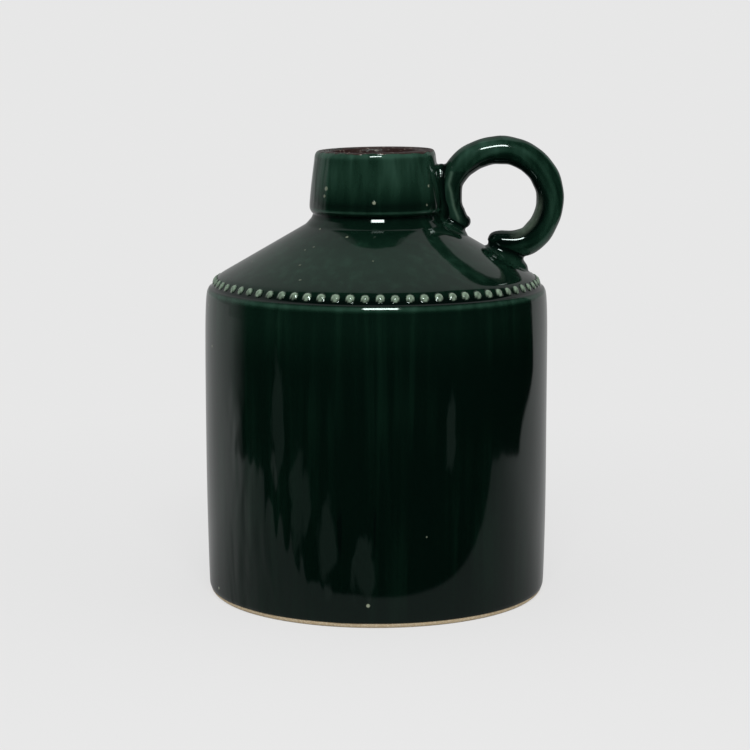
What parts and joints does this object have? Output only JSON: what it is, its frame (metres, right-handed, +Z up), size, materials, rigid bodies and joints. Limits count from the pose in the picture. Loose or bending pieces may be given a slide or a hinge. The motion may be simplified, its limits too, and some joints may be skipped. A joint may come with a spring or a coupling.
{
  "type": "stoneware jug",
  "caption": "Straight-sided glazed stoneware jug with a coned shoulder, a row of small beads, a short wide neck and an open ring handle.",
  "frame": {"origin": "centre of the flat foot, on the jug's axis", "axes": "+Z up along the jug's axis; the handle stands out along +X; the jug is mirror symmetric across Y"},
  "size_m": [0.1867, 0.178, 0.2371],
  "materials": {
    "green_glaze": "glossy dark green glaze",
    "pale_green_glaze": "glossy green glaze, thin and pale on the beads",
    "brown_glaze": "glossy red-brown glaze with small pale flecks",
    "bare_clay": "unglazed buff stoneware"
  },
  "bodies": {
    "root": {"base_disc": "bare_clay", "body_wall": "green_glaze", "shoulder": "green_glaze", "bead_band": "pale_green_glaze", "neck_collar": "green_glaze", "mouth_lip": "brown_glaze", "handle_coil": "green_glaze", "toe_slip": "green_glaze", "heel_slip": "green_glaze", "collar_slip": "green_glaze"}
  },
  "joints": []
}
